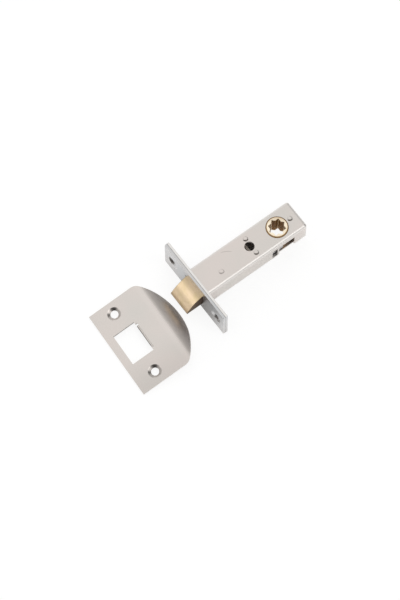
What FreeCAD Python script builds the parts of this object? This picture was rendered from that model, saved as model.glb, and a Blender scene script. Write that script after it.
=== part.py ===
"""Tubular door latch with its strike plate, as a parametric document in millimetres.

The origin is the centre of the faceplate's outer face, on the axis of the bolt. +X is the way the bolt is
thrown, +Y runs along the forend and +Z is the spindle axis. The latch lies on its side: the forend's long
edge and the strike rest on the plane z = -forend_width / 2.
"""

import FreeCAD
import Part
import Sketcher

import math
import os
import re

SHEET = "Sizes"
SMALL = 1e-4
ALONG_X = FreeCAD.Vector(1, 0, 0)
ALONG_Y = FreeCAD.Vector(0, 1, 0)
ALONG_Z = FreeCAD.Vector(0, 0, 1)

# Driving sizes in millimetres, or degrees where the note says so
SIZES = {
    "forend_length": (57.0, "forend along Y"),
    "forend_width": (25.0, "forend along Z"),
    "faceplate_thickness": (1.5, "outer layer of the forend"),
    "forend_thickness": (1.5, "inner layer of the forend"),
    "forend_corner": (0.6, "corner radius of both layers"),
    "screw_spacing": (42.0, "forend screw holes, centre to centre"),
    "screw_hole": (4.4, "diameter of a forend screw hole"),
    "screw_sink": (8.4, "mouth of a forend countersink"),
    "screw_sink_angle": (90.0, "degrees across a forend countersink"),
    "case_height": (19.5, "case along Y"),
    "case_depth": (14.5, "case along Z"),
    "rear_room": (15.0, "spindle axis to the rear of the case"),
    "sheet_thickness": (1.0, "sheet of the channel and its cover"),
    "bend_radius": (1.8, "outside radius of the channel's bends"),
    "lug_width": (6.0, "staked lug of a flange, along Z"),
    "seat_gap": (0.05, "play of a lug, ear or plate in its seat"),
    "backset": (60.0, "faceplate to spindle axis"),
    "hub_running_gap": (0.08, "radial play of the hub in the case"),
    "hub_proud": (0.35, "hub past each wide face"),
    "hub_chamfer": (0.5, "edge of the hub's barrel"),
    "hub_wall": (1.25, "thinnest wall of the hub, at the points of the star"),
    "wing_reach": (0.3, "centre of a wing's nose past the leg that it pulls"),
    "wing_nose": (1.2, "nose radius of a wing"),
    "wing_root": (1.1, "half width of a wing where it leaves the barrel"),
    "wing_thickness": (5.2, "wing along Z"),
    "wing_lead": (38.0, "degrees that a wing leans forward at rest"),
    "pin_hole": (6.0, "diameter of the round hole in each wide face"),
    "pin_hole_setback": (40.0, "faceplate to the round hole"),
    "notch_rise": (2.9, "top of the flange notches above the bolt axis"),
    "long_notch": (11.0, "flange notch that the wings swing through"),
    "short_notch": (3.7, "flange notch that takes the cover's ear"),
    "notch_web": (1.2, "metal between the two notches"),
    "rivet_head": (3.2, "rivet head across its base"),
    "rivet_height": (0.6, "rivet head above the face, and tail inside"),
    "rivet_slope": (45.0, "degrees that a head's side leans"),
    "rivet_tail": (2.6, "diameter of a rivet's tail inside the case"),
    "rivet_spread": (10.4, "rivets behind the abutment, centre to centre"),
    "rear_rivet_room": (5.7, "rear rivet to the rear of the case"),
    "front_pip_setback": (17.7, "faceplate to the front pip"),
    "front_pip_offset": (2.7, "front pip from the centre line"),
    "front_pip_height": (0.35, "front pip above the face"),
    "cover_lug": (8.0, "cover's lug in the rear wall, along Y"),
    "bolt_side_gap": (0.25, "play of the bolt inside the case"),
    "bolt_projection": (11.0, "bolt past the faceplate"),
    "bolt_setback": (9.0, "faceplate to the bolt's rear face"),
    "bolt_gap": (0.2, "play of the bolt in its opening"),
    "bolt_shoulder": (0.5, "shoulder that stops behind the forend"),
    "bevel_setback": (4.0, "faceplate back to the start of the bevel"),
    "bevel_radius": (24.0, "convex curve of the bevel"),
    "bolt_tip": (0.8, "blunt tip under the bevel"),
    "bolt_edge": (0.4, "rounded edges of the bolt's nose"),
    "shank_diameter": (4.2, "rod behind the bolt"),
    "shank_gap": (0.2, "radial play of the rod in its holes"),
    "shank_socket": (5.0, "rod inside the bolt"),
    "shank_overrun": (0.4, "rod past the abutment"),
    "cross_pin": (2.0, "pin through bolt and rod"),
    "cross_pin_inset": (2.5, "pin from the bolt's rear face"),
    "cross_pin_short": (0.5, "pin below each side of the bolt"),
    "clip_diameter": (6.6, "retaining ring on the rod"),
    "clip_thickness": (0.9, "retaining ring along X"),
    "clip_groove": (0.6, "depth of the ring's groove"),
    "clip_gap": (0.1, "ring behind the retractor"),
    "clip_mouth": (2.6, "open side of the ring"),
    "abutment_setback": (38.3, "faceplate to the abutment"),
    "abutment_thickness": (1.4, "abutment along X"),
    "abutment_relief": (2.2, "notch of the abutment under the round hole"),
    "retractor_setback": (19.8, "faceplate to the retractor's web"),
    "retractor_thickness": (1.2, "strip of the retractor"),
    "retractor_bend": (1.8, "outside radius of the retractor's bends"),
    "leg_gap": (0.3, "play between the retractor and its neighbours"),
    "leg_side_gap": (0.55, "play between a retractor leg and the case"),
    "leg_width": (5.2, "retractor leg along Z"),
    "head_width": (9.2, "retractor web and heads along Z"),
    "head_front": (2.0, "metal in front of a head's window"),
    "head_rear": (2.2, "metal behind a head's window"),
    "head_room": (2.2, "room in front of a wing's nose"),
    "web_depth": (1.6, "full width of the strip behind the web's bend"),
    "return_spring_wire": (1.2, "outer spring's wire"),
    "return_spring_diameter": (8.4, "outer spring's mean diameter"),
    "return_spring_turns": (4.5, "outer spring's turns"),
    "bolt_spring_wire": (0.6, "inner spring's wire"),
    "bolt_spring_diameter": (5.6, "inner spring's mean diameter"),
    "bolt_spring_turns": (8.0, "inner spring's turns"),
    "strike_length": (57.0, "strike along the door edge"),
    "strike_flat": (31.0, "straight edge to the start of the lip"),
    "strike_thickness": (1.5, "strike sheet"),
    "lip_radius": (14.0, "outside radius of the lip's curve"),
    "lip_angle": (68.0, "degrees that the lip turns down"),
    "strike_side": (32.0, "straight ends of the strike"),
    "strike_corner": (6.0, "corner between an end and the curved edge"),
    "strike_hole_width": (14.5, "bolt hole across the strike"),
    "strike_hole_length": (20.5, "bolt hole along the strike"),
    "strike_hole_margin": (5.0, "straight edge to the bolt hole"),
    "tab_length": (14.6, "turned-down tab of the bolt hole"),
    "tab_depth": (4.4, "tab below the strike's face"),
    "tab_relief": (1.4, "relief notch at each end of the tab"),
    "strike_screw_spacing": (42.4, "strike screw holes, centre to centre"),
    "strike_screw_margin": (13.0, "straight edge to the screw holes"),
    "strike_screw_hole": (4.8, "diameter of a strike screw hole"),
    "strike_sink": (8.2, "mouth of a strike countersink"),
    "strike_sink_angle": (110.0, "degrees across a strike countersink"),
    "strike_reach": (58.0, "faceplate to the strike's straight edge"),
    "strike_shift": (2.4, "strike's middle from the bolt axis, along Y"),
    "strike_turn": (2.6, "degrees that the strike lies askew"),
}

# Lengths that several pieces share
FOREND_BACK = "(faceplate_thickness + forend_thickness)"
CASE_REAR = "(backset + rear_room)"
CASE_LENGTH = "(backset + rear_room - faceplate_thickness - forend_thickness)"
INNER_HEIGHT = "(case_height / 2 - sheet_thickness)"
INNER_DEPTH = "(case_depth / 2 - sheet_thickness)"
BOLT_WIDTH = "(case_height - 2 * (sheet_thickness + bolt_side_gap + bolt_shoulder))"
BOLT_THICKNESS = "(case_depth - 2 * (sheet_thickness + bolt_side_gap))"
LEG_OUTER = "(case_height / 2 - sheet_thickness - leg_side_gap)"
LEG_INNER = "(case_height / 2 - sheet_thickness - leg_side_gap - retractor_thickness)"
HUB_DIAMETER = f"(2 * ({LEG_INNER} - leg_gap))"
HUB_HOLE = f"({HUB_DIAMETER} + 2 * hub_running_gap)"
WING_RADIUS = f"({LEG_OUTER} + wing_reach)"
SHANK_HOLE = "(shank_diameter + 2 * shank_gap)"
ABUTMENT_REAR = "(abutment_setback + abutment_thickness)"
SHORT_NOTCH_REAR = "(backset - long_notch / 2 - notch_web)"
WEB_REAR = "(retractor_setback + retractor_thickness)"
CLIP_FRONT = "(retractor_setback + retractor_thickness + clip_gap)"
NOSE_LEAD = f"({WING_RADIUS} * sin(wing_lead))"
WINDOW_REAR = f"(backset - {NOSE_LEAD} + wing_nose + leg_gap)"
WINDOW_FRONT = f"(backset - {NOSE_LEAD} - wing_nose - head_room)"
TAB_FACE = "(strike_hole_margin + strike_hole_width)"


def bound(text: str) -> str:
    """Return an expression with every size's name pointed at the sheet."""
    return re.sub(r"[a-z_]+", lambda word: f"{SHEET}.{word[0]}" if word[0] in SIZES else word[0], text)


def value(doc: FreeCAD.Document, text: str) -> float:
    """Return the present value of an expression."""
    return float(doc.getObject(SHEET).evalExpression(bound(text)))


def make_sheet(doc: FreeCAD.Document) -> None:
    """Write the driving sizes to an aliased spreadsheet."""
    sheet = doc.addObject("Spreadsheet::Sheet", SHEET)
    for row, (name, (size, note)) in enumerate(SIZES.items(), start=1):
        sheet.set(f"A{row}", note)
        sheet.set(f"B{row}", str(size))
        sheet.setAlias(f"B{row}", name)
    doc.recompute()


def new_body(doc: FreeCAD.Document, label: str):
    """Return an empty body whose label names its node."""
    body = doc.addObject("PartDesign::Body", label)
    body.Label = label
    return body


def origin_feature(body, role: str):
    """Return one of the body's own origin planes or axes."""
    return next(item for item in body.Origin.OriginFeatures if item.Role == role)


def new_sketch(body, role: str, name: str, offset: str = "0"):
    """Return a sketch on an origin plane, moved along the plane's normal by an expression."""
    sketch = body.newObject("Sketcher::SketchObject", f"{body.Label}_{name}")
    sketch.AttachmentSupport = [(origin_feature(body, role), "")]
    sketch.MapMode = "FlatFace"
    sketch.setExpression("AttachmentOffset.Base.z", bound(offset))
    return sketch


def hold(sketch, kind: str, *where, text: str) -> None:
    """Add a dimension to a sketch and bind it to an expression."""
    index = sketch.addConstraint(Sketcher.Constraint(kind, *where, value(sketch.Document, text)))
    sketch.setExpression(f"Constraints[{index}]", bound(text))


def arc_between(start: FreeCAD.Vector, end: FreeCAD.Vector, radius: float, side: int):
    """Return the shorter arc from start to end with its centre on the left (1) or right (-1) of the way."""
    chord = end - start
    left = FreeCAD.Vector(-chord.y, chord.x, 0).normalize()
    centre = (start + end) * 0.5 + left * side * math.sqrt(radius**2 - (chord.Length / 2) ** 2)
    first, last = (start, end) if side > 0 else (end, start)
    angles = [math.atan2(point.y - centre.y, point.x - centre.x) for point in (first, last)]
    return Part.ArcOfCircle(Part.Circle(centre, ALONG_Z, radius), *angles)


def outline(sketch, corners: list, arcs: dict | None = None) -> None:
    """Draw a closed outline whose corners are pairs of expressions.

    Args:
        sketch: the sketch to draw in.
        corners: the corners in order, each as two expressions.
        arcs: the sides that are arcs: number of the side to its radius and the side its centre lies on.
    """
    arcs = arcs or {}
    first = sketch.GeometryCount
    count = len(corners)
    points = [FreeCAD.Vector(value(sketch.Document, x), value(sketch.Document, y), 0) for x, y in corners]
    ends = []
    for side in range(count):
        start, end = points[side], points[(side + 1) % count]
        radius, turn = arcs.get(side, ("", 1))
        if radius:
            sketch.addGeometry(arc_between(start, end, value(sketch.Document, radius), turn), False)
        else:
            sketch.addGeometry(Part.LineSegment(start, end), False)
        ends.append((1, 2) if turn > 0 else (2, 1))
    for side in range(count):
        after = (side + 1) % count
        joined = (first + side, ends[side][1], first + after, ends[after][0])
        sketch.addConstraint(Sketcher.Constraint("Coincident", *joined))
    for side, (x, y) in enumerate(corners):
        hold(sketch, "DistanceX", -1, 1, first + side, ends[side][0], text=x)
        hold(sketch, "DistanceY", -1, 1, first + side, ends[side][0], text=y)
    for side, (radius, _) in arcs.items():
        hold(sketch, "Radius", first + side, text=radius)


def rectangle(sketch, left: str, right: str, low: str, high: str) -> None:
    """Draw a rectangle from its four sides."""
    outline(sketch, [(left, low), (right, low), (right, high), (left, high)])


def circle(sketch, x: str, y: str, diameter: str) -> None:
    """Draw a circle from its centre and diameter."""
    doc = sketch.Document
    centre = FreeCAD.Vector(value(doc, x), value(doc, y), 0)
    index = sketch.addGeometry(Part.Circle(centre, ALONG_Z, value(doc, diameter) / 2), False)
    hold(sketch, "DistanceX", -1, 1, index, 3, text=x)
    hold(sketch, "DistanceY", -1, 1, index, 3, text=y)
    hold(sketch, "Diameter", index, text=diameter)


def pad(body, sketch, length: str, side: str = "One side", reverse: bool = False, slope: str = ""):
    """Pad a sketch along its normal, against it, or evenly both ways, with walls that may lean inwards."""
    feature = body.newObject("PartDesign::Pad", f"{sketch.Name}_pad")
    feature.Profile = sketch
    feature.setExpression("Length", bound(length))
    feature.SideType = side
    feature.Reversed = reverse
    if slope:
        feature.setExpression("TaperAngle", bound(f"-{slope}"))
    sketch.Document.recompute()
    return feature


def pocket(body, sketch, length: str = "", side: str = "One side", reverse: bool = False):
    """Cut a sketch against its normal, or along it if reversed, and check that metal went.

    Args:
        body: the body to cut.
        sketch: the outline of the cut.
        length: the depth, or nothing to cut right through.
        side: one side of the sketch or both.
        reverse: whether to cut along the sketch's normal.
    """
    before = body.Shape.Volume
    feature = body.newObject("PartDesign::Pocket", f"{sketch.Name}_cut")
    feature.Profile = sketch
    if length:
        feature.setExpression("Length", bound(length))
    else:
        feature.Type = "ThroughAll"
    feature.SideType = side
    feature.Reversed = reverse
    sketch.Document.recompute()
    if body.Shape.Volume >= before - SMALL:
        raise RuntimeError(f"{feature.Name} cuts nothing")
    return feature


def screw_holes(body, sketch, diameter: str, mouth: str, angle: str):
    """Drill countersunk through holes at the sketch's circles."""
    sketch.Document.recompute()
    feature = body.newObject("PartDesign::Hole", f"{sketch.Name}_holes")
    feature.Profile = sketch
    feature.DepthType = "ThroughAll"
    feature.setExpression("Diameter", bound(diameter))
    feature.HoleCutType = "Countersink"
    feature.HoleCutCustomValues = True
    feature.setExpression("HoleCutDiameter", bound(mouth))
    feature.setExpression("HoleCutCountersinkAngle", bound(angle))
    sketch.Document.recompute()
    return feature


def edges_through(shape, along: FreeCAD.Vector, places: list) -> list:
    """Return the names of straight edges along a direction whose lines pass through given points."""
    names = []
    for number, edge in enumerate(shape.Edges, start=1):
        if edge.Degenerated or edge.Curve.TypeId != "Part::GeomLine":
            continue
        if abs(edge.Curve.Direction.dot(along)) < 1 - SMALL:
            continue
        middle = edge.CenterOfMass
        for place in places:
            apart = middle - place
            if (apart - along * apart.dot(along)).Length < SMALL:
                names.append(f"Edge{number}")
    return names


def round_edges(body, base, name: str, radius: str, names: list, kind: str = "Fillet"):
    """Round or chamfer named edges of a feature."""
    if not names:
        raise RuntimeError(f"{body.Label}: no edge found for {name}")
    feature = body.newObject(f"PartDesign::{kind}", f"{body.Label}_{name}")
    feature.Base = (base, names)
    feature.setExpression("Radius" if kind == "Fillet" else "Size", bound(radius))
    body.Document.recompute()
    return feature


def make_forend_plate(doc: FreeCAD.Document, label: str, front: str, thickness: str, mouth: str, slots: bool):
    """Build one layer of the forend with its bolt opening, screw holes and, in the inner layer, lug slots."""
    body = new_body(doc, label)
    face = new_sketch(body, "YZ_Plane", "face", f"-{front}")
    rectangle(face, "-forend_length / 2", "forend_length / 2", "-forend_width / 2", "forend_width / 2")
    half_width, half_depth = f"({BOLT_WIDTH} / 2 + bolt_gap)", f"({BOLT_THICKNESS} / 2 + bolt_gap)"
    rectangle(face, f"-{half_width}", half_width, f"-{half_depth}", half_depth)
    if slots:
        near, far = f"({INNER_HEIGHT} - seat_gap)", "(case_height / 2 + seat_gap)"
        rise = "(lug_width / 2 + seat_gap)"
        rectangle(face, near, far, f"-{rise}", rise)
        rectangle(face, f"-{far}", f"-{near}", f"-{rise}", rise)
    plate = pad(body, face, thickness, reverse=True)
    half_length, half_height = value(doc, "forend_length / 2"), value(doc, "forend_width / 2")
    places = [FreeCAD.Vector(0, y, z) for y in (-half_length, half_length) for z in (-half_height, half_height)]
    round_edges(body, plate, "corners", "forend_corner", edges_through(plate.Shape, ALONG_X, places))
    holes = new_sketch(body, "YZ_Plane", "screws", f"-{front}")
    for sign in "-", "":
        circle(holes, f"{sign}screw_spacing / 2", "0", "screw_hole")
    screw_holes(body, holes, "screw_hole", mouth, "screw_sink_angle")
    return body


def make_case_channel(doc: FreeCAD.Document):
    """Build the folded case: wide face, two notched flanges, rear wall, staked lugs and rivets."""
    body = new_body(doc, "case_channel")
    block = new_sketch(body, "YZ_Plane", "block", f"-{FOREND_BACK}")
    rectangle(block, "-case_height / 2", "case_height / 2", "-case_depth / 2", "case_depth / 2")
    pad(body, block, CASE_LENGTH, reverse=True)
    cavity = new_sketch(body, "YZ_Plane", "cavity", f"-{FOREND_BACK}")
    rectangle(cavity, f"-{INNER_HEIGHT}", INNER_HEIGHT, "-case_depth", INNER_DEPTH)
    tray = pocket(body, cavity, f"{CASE_LENGTH} - sheet_thickness")

    half_height, half_depth = value(doc, "case_height / 2"), value(doc, "case_depth / 2")
    rear, sheet = value(doc, CASE_REAR), value(doc, "sheet_thickness")
    sides = (-half_height, half_height)
    bends = edges_through(tray.Shape, ALONG_X, [FreeCAD.Vector(0, y, half_depth) for y in sides])
    bends += edges_through(tray.Shape, ALONG_Y, [FreeCAD.Vector(-rear, 0, half_depth)])
    bends += edges_through(tray.Shape, ALONG_Z, [FreeCAD.Vector(-rear, y, 0) for y in sides])
    outer = round_edges(body, tray, "outer_bends", "bend_radius", bends)
    sides, inner_depth = (sheet - half_height, half_height - sheet), half_depth - sheet
    bends = edges_through(outer.Shape, ALONG_X, [FreeCAD.Vector(0, y, inner_depth) for y in sides])
    bends += edges_through(outer.Shape, ALONG_Y, [FreeCAD.Vector(sheet - rear, 0, inner_depth)])
    bends += edges_through(outer.Shape, ALONG_Z, [FreeCAD.Vector(sheet - rear, y, 0) for y in sides])
    round_edges(body, outer, "inner_bends", "bend_radius - sheet_thickness", bends)

    below = "-case_depth"
    seat = new_sketch(body, "YZ_Plane", "cover_lug_seat", f"-{CASE_REAR}")
    rectangle(seat, "-cover_lug / 2 - seat_gap", "cover_lug / 2 + seat_gap", below, f"seat_gap - {INNER_DEPTH}")
    pocket(body, seat, "sheet_thickness", reverse=True)

    notches = new_sketch(body, "XZ_Plane", "notches")
    rectangle(notches, "-backset - long_notch / 2", "long_notch / 2 - backset", below, "notch_rise")
    rectangle(notches, f"-{SHORT_NOTCH_REAR}", f"short_notch - {SHORT_NOTCH_REAR}", below, "notch_rise")
    pocket(body, notches, side="Symmetric")

    lugs = new_sketch(body, "YZ_Plane", "lugs", f"-{FOREND_BACK}")
    rectangle(lugs, INNER_HEIGHT, "case_height / 2", "-lug_width / 2", "lug_width / 2")
    rectangle(lugs, "-case_height / 2", f"-{INNER_HEIGHT}", "-lug_width / 2", "lug_width / 2")
    pad(body, lugs, "forend_thickness")

    holes = new_sketch(body, "XY_Plane", "holes")
    circle(holes, "-backset", "0", HUB_HOLE)
    circle(holes, "-pin_hole_setback", "0", "pin_hole")
    pocket(body, holes, reverse=True)

    rear_rivet = f"rear_rivet_room - {CASE_REAR}"
    tails = new_sketch(body, "XY_Plane", "rivet_tails", INNER_DEPTH)
    draw_rivets(tails, "rivet_tail")
    circle(tails, rear_rivet, "0", "rivet_tail")
    pad(body, tails, "rivet_height", reverse=True)
    heads = new_sketch(body, "XY_Plane", "rivet_heads", "case_depth / 2")
    draw_rivets(heads, "rivet_head")
    circle(heads, rear_rivet, "0", "rivet_head")
    pad(body, heads, "rivet_height", slope="rivet_slope")
    pip = new_sketch(body, "XY_Plane", "front_pip", "case_depth / 2")
    circle(pip, "-front_pip_setback", "front_pip_offset", "rivet_head")
    pad(body, pip, "front_pip_height", slope="rivet_slope")
    return body


def draw_rivets(sketch, diameter: str) -> None:
    """Draw the pair of rivets that stand behind the abutment."""
    for sign in "-", "":
        circle(sketch, f"-{ABUTMENT_REAR} - rivet_tail / 2", f"{sign}rivet_spread / 2", diameter)


def make_case_cover(doc: FreeCAD.Document):
    """Build the plate that closes the channel, with two ears, a rear lug and its own holes and rivets."""
    body = new_body(doc, "case_cover")
    side = f"({INNER_HEIGHT} - seat_gap)"
    ear_front = f"(short_notch - {SHORT_NOTCH_REAR} - seat_gap)"
    ear_rear = f"(seat_gap - {SHORT_NOTCH_REAR})"
    wall, corner = f"(sheet_thickness + seat_gap - {CASE_REAR})", "(bend_radius - sheet_thickness)"
    front, rear = f"-{FOREND_BACK}", f"-{CASE_REAR}"
    half = [
        (front, side),
        (ear_front, side),
        (ear_front, "case_height / 2"),
        (ear_rear, "case_height / 2"),
        (ear_rear, side),
        (f"({wall} + {corner})", side),
        (wall, f"({side} - {corner})"),
        (wall, "cover_lug / 2"),
        (rear, "cover_lug / 2"),
    ]
    plate = new_sketch(body, "XY_Plane", "plate", "-case_depth / 2")
    outline(plate, half + [(x, f"-{y}") for x, y in reversed(half)])
    circle(plate, "-backset", "0", HUB_HOLE)
    circle(plate, "-pin_hole_setback", "0", "pin_hole")
    pad(body, plate, "sheet_thickness")
    tails = new_sketch(body, "XY_Plane", "rivet_tails", f"-{INNER_DEPTH}")
    draw_rivets(tails, "rivet_tail")
    pad(body, tails, "rivet_height")
    heads = new_sketch(body, "XY_Plane", "rivet_heads", "-case_depth / 2")
    draw_rivets(heads, "rivet_head")
    pad(body, heads, "rivet_height", reverse=True, slope="rivet_slope")
    return body


def make_spring_abutment(doc: FreeCAD.Document):
    """Build the cross plate behind the springs, cut away at its sides for the retractor's legs."""
    body = new_body(doc, "spring_abutment")
    side, top = f"({INNER_HEIGHT} - seat_gap)", f"({INNER_DEPTH} - seat_gap)"
    waist, leg = f"({LEG_INNER} - leg_gap)", "(leg_width / 2 + leg_gap)"
    relief, floor = "(pin_hole / 2)", f"({INNER_DEPTH} - abutment_relief)"
    corner = "(bend_radius - sheet_thickness)"
    quarter = [
        (waist, leg),
        (side, leg),
        (side, f"({top} - {corner})"),
        (f"({side} - {corner})", top),
        (relief, top),
        (relief, floor),
    ]
    upper = quarter + [(f"-{y}", z) for y, z in reversed(quarter)]
    plate = new_sketch(body, "YZ_Plane", "plate", "-abutment_setback")
    outline(plate, upper + [(y, f"-{z}") for y, z in reversed(upper)])
    circle(plate, "0", "0", SHANK_HOLE)
    pad(body, plate, "abutment_thickness", reverse=True)
    return body


def make_latch_bolt(doc: FreeCAD.Document):
    """Build the brass bolt: convex bevel, shoulders, socket for the rod and the cross pin's hole."""
    body = new_body(doc, "latch_bolt")
    half = f"{BOLT_THICKNESS} / 2"
    corners = [
        ("-bolt_setback", f"-{half}"),
        ("bolt_projection", f"-{half}"),
        ("bolt_projection", f"bolt_tip - {half}"),
        ("-bevel_setback", half),
        ("-bolt_setback", half),
    ]
    profile = new_sketch(body, "XZ_Plane", "profile")
    outline(profile, corners, {2: ("bevel_radius", 1)})
    nose = pad(body, profile, BOLT_WIDTH, side="Symmetric")
    curved = value(doc, "bevel_radius")
    edges = [
        f"Edge{number}"
        for number, edge in enumerate(nose.Shape.Edges, start=1)
        if edge.Curve.TypeId == "Part::GeomCircle" and abs(edge.Curve.Radius - curved) < SMALL
    ]
    round_edges(body, nose, "nose_edges", "bolt_edge", edges)
    shoulder = new_sketch(body, "XY_Plane", "shoulder")
    half_width = f"({BOLT_WIDTH} / 2 + bolt_shoulder)"
    rectangle(shoulder, "-bolt_setback", f"-{FOREND_BACK} - seat_gap", f"-{half_width}", half_width)
    pad(body, shoulder, BOLT_THICKNESS, side="Symmetric")
    socket = new_sketch(body, "YZ_Plane", "socket", "-bolt_setback")
    circle(socket, "0", "0", "shank_diameter")
    pocket(body, socket, "shank_socket", reverse=True)
    cross = new_sketch(body, "XZ_Plane", "cross_hole")
    circle(cross, "cross_pin_inset - bolt_setback", "0", "cross_pin")
    pocket(body, cross, side="Symmetric")
    return body


def make_bolt_shank(doc: FreeCAD.Document):
    """Turn the rod with its ring groove and drill it for the cross pin."""
    body = new_body(doc, "bolt_shank")
    radius, neck = "(shank_diameter / 2)", "(shank_diameter / 2 - clip_groove)"
    front, rear = "(shank_socket - bolt_setback)", f"(-{ABUTMENT_REAR} - shank_overrun)"
    groove_front, groove_rear = f"(-{CLIP_FRONT})", f"(-{CLIP_FRONT} - clip_thickness)"
    corners = [
        (front, "0"),
        (front, radius),
        (groove_front, radius),
        (groove_front, neck),
        (groove_rear, neck),
        (groove_rear, radius),
        (rear, radius),
        (rear, "0"),
    ]
    profile = new_sketch(body, "XZ_Plane", "profile")
    outline(profile, corners)
    turned = body.newObject("PartDesign::Revolution", "bolt_shank_turned")
    turned.Profile = profile
    turned.ReferenceAxis = (origin_feature(body, "X_Axis"), [""])
    turned.Angle = 360
    doc.recompute()
    cross = new_sketch(body, "XZ_Plane", "cross_hole")
    circle(cross, "cross_pin_inset - bolt_setback", "0", "cross_pin")
    pocket(body, cross, side="Symmetric")
    return body


def make_shank_pin(doc: FreeCAD.Document):
    """Build the cross pin, a plain cylinder across the bolt."""
    pin = doc.addObject("Part::Cylinder", "shank_pin")
    pin.Label = "shank_pin"
    pin.setExpression("Radius", bound("cross_pin / 2"))
    pin.setExpression("Height", bound(f"{BOLT_WIDTH} - 2 * cross_pin_short"))
    pin.Placement = FreeCAD.Placement(FreeCAD.Vector(), FreeCAD.Rotation(ALONG_X, -90))
    pin.setExpression("Placement.Base.x", bound("cross_pin_inset - bolt_setback"))
    pin.setExpression("Placement.Base.y", bound(f"cross_pin_short - {BOLT_WIDTH} / 2"))
    return pin


def make_shank_clip(doc: FreeCAD.Document):
    """Build the retaining ring, open on one side, that sits in the rod's groove."""
    body = new_body(doc, "shank_clip")
    ring = new_sketch(body, "YZ_Plane", "ring", f"-{CLIP_FRONT}")
    circle(ring, "0", "0", "clip_diameter")
    circle(ring, "0", "0", "shank_diameter - 2 * clip_groove")
    pad(body, ring, "clip_thickness", reverse=True)
    mouth = new_sketch(body, "YZ_Plane", "mouth", f"-{CLIP_FRONT}")
    rectangle(mouth, "-clip_mouth / 2", "clip_mouth / 2", "-clip_diameter", "0")
    pocket(body, mouth)
    return body


def make_spring(doc: FreeCAD.Document, label: str, front: str):
    """Coil a spring round the rod from its moving seat back to the abutment."""
    body = new_body(doc, label)
    wire = new_sketch(body, "XZ_Plane", "wire")
    circle(wire, f"-{front} - {label}_wire / 2", f"{label}_diameter / 2", f"{label}_wire")
    coil = body.newObject("PartDesign::AdditiveHelix", f"{label}_coil")
    coil.Profile = wire
    coil.ReferenceAxis = (origin_feature(body, "X_Axis"), [""])
    coil.Mode = "height-turns-angle"
    coil.setExpression("Height", bound(f"abutment_setback - {front} - {label}_wire"))
    coil.setExpression("Turns", bound(f"{label}_turns"))
    coil.Reversed = True
    doc.recompute()
    return body


def make_retractor(doc: FreeCAD.Document):
    """Build the folded stirrup: web round the rod, two legs, and windowed heads that hold the hub's wings."""
    body = new_body(doc, "retractor")
    half = [
        ("-retractor_setback", LEG_OUTER),
        (f"(-{WINDOW_REAR} - head_rear)", LEG_OUTER),
        (f"(-{WINDOW_REAR} - head_rear)", LEG_INNER),
        (f"-{WEB_REAR}", LEG_INNER),
    ]
    strip = new_sketch(body, "XY_Plane", "strip")
    outline(strip, half + [(x, f"-{y}") for x, y in reversed(half)])
    folded = pad(body, strip, "head_width", side="Symmetric")
    outer, inner = value(doc, LEG_OUTER), value(doc, LEG_INNER)
    front, back = value(doc, "retractor_setback"), value(doc, WEB_REAR)
    places = [FreeCAD.Vector(-front, y, 0) for y in (-outer, outer)]
    bent = round_edges(body, folded, "outer_bends", "retractor_bend", edges_through(folded.Shape, ALONG_Z, places))
    places = [FreeCAD.Vector(-back, y, 0) for y in (-inner, inner)]
    edges = edges_through(bent.Shape, ALONG_Z, places)
    round_edges(body, bent, "inner_bends", "retractor_bend - retractor_thickness", edges)
    waist = new_sketch(body, "XZ_Plane", "waist")
    for sign in "-", "":
        near, far = f"{sign}leg_width / 2", f"{sign}head_width"
        low, high = (far, near) if sign else (near, far)
        rectangle(waist, f"(head_front - {WINDOW_FRONT})", f"(-{WEB_REAR} - web_depth)", low, high)
    pocket(body, waist, side="Symmetric")
    window = new_sketch(body, "XZ_Plane", "window")
    rise = "(wing_thickness / 2 + leg_gap)"
    rectangle(window, f"-{WINDOW_REAR}", f"-{WINDOW_FRONT}", f"-{rise}", rise)
    pocket(body, window, side="Symmetric")
    hole = new_sketch(body, "YZ_Plane", "shank_hole", "-retractor_setback")
    circle(hole, "0", "0", SHANK_HOLE)
    pocket(body, hole, "retractor_thickness")
    return body


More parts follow.
